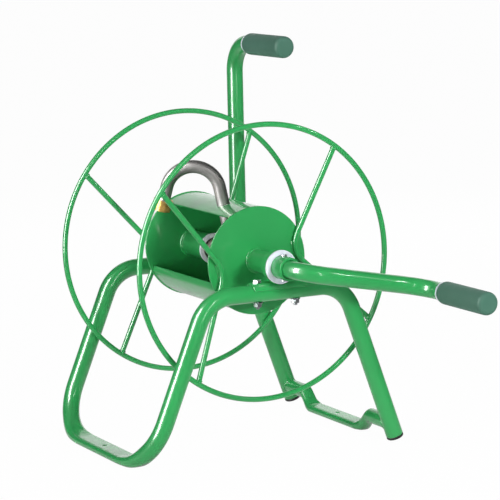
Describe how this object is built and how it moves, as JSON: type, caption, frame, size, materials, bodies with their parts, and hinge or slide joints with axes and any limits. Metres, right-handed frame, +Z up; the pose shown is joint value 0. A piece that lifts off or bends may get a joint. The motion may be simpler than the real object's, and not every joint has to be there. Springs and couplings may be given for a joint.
{
  "type": "garden hose reel",
  "caption": "Portable garden hose reel: a crank-driven open drum between wire rings on a bent tube stand, with a brace handle and a gooseneck hose outlet.",
  "frame": {"origin": "on the floor, midway between the two anchor holes", "axes": "+X across the stand towards the capped feet, +Y along the axle away from the crank, +Z up"},
  "size_m": [0.4373, 0.6076, 0.5907],
  "materials": {
    "green_coat": "gloss powder coat",
    "black_cap": "satin",
    "zinc_bolt": "zinc plated",
    "plain_steel": "turned",
    "white_nylon": "satin",
    "grey_pipe": "satin",
    "brass": "machined",
    "grip": "satin"
  },
  "bodies": {
    "stand": {"frame_tube": "green_coat", "cross_tube": "green_coat", "near_foot_plug": "black_cap", "far_foot_plug": "black_cap", "near_saddle": "green_coat", "far_saddle": "green_coat", "near_saddle_bolts": "zinc_bolt", "far_saddle_bolts": "zinc_bolt", "near_housing": "green_coat", "near_bushing": "white_nylon", "far_housing": "green_coat", "spindle": "plain_steel", "spindle_collar": "plain_steel", "water_pipe": "grey_pipe", "inlet_fitting": "brass", "brace_tube": "green_coat", "brace_bolts": "zinc_bolt"},
    "reel": {"near_disc": "green_coat", "far_disc": "green_coat", "drum_shell": "green_coat", "near_ring": "green_coat", "far_ring": "green_coat", "near_right_spoke": "green_coat", "near_left_spoke": "green_coat", "far_right_spoke": "green_coat", "far_left_spoke": "green_coat", "near_axle": "green_coat", "axle_collar": "green_coat", "far_hub": "green_coat", "hub_inner_bushing": "white_nylon", "hub_outer_bushing": "white_nylon", "swivel": "brass", "gooseneck": "grey_pipe", "outlet_fitting": "brass", "crank_tube": "green_coat", "crank_pin": "zinc_bolt"},
    "crank_handle": {"crank_sleeve": "white_nylon", "crank_grip": "grip"},
    "brace_handle": {"brace_sleeve": "white_nylon", "brace_grip": "grip"}
  },
  "joints": [
    {"name": "reel_spin", "type": "hinge", "parent": "stand", "child": "reel", "pos_m": [0.0092, 0.006, 0.2783], "axis": [0, 1, 0], "continuous": true},
    {"name": "crank_grip_spin", "type": "hinge", "parent": "reel", "child": "crank_handle", "pos_m": [0.20827, -0.315, 0.23852], "axis": [0, 1, 0], "continuous": true},
    {"name": "brace_grip_spin", "type": "hinge", "parent": "stand", "child": "brace_handle", "pos_m": [0.1256, 0.075, 0.5738], "axis": [0, 1, 0], "continuous": true}
  ]
}
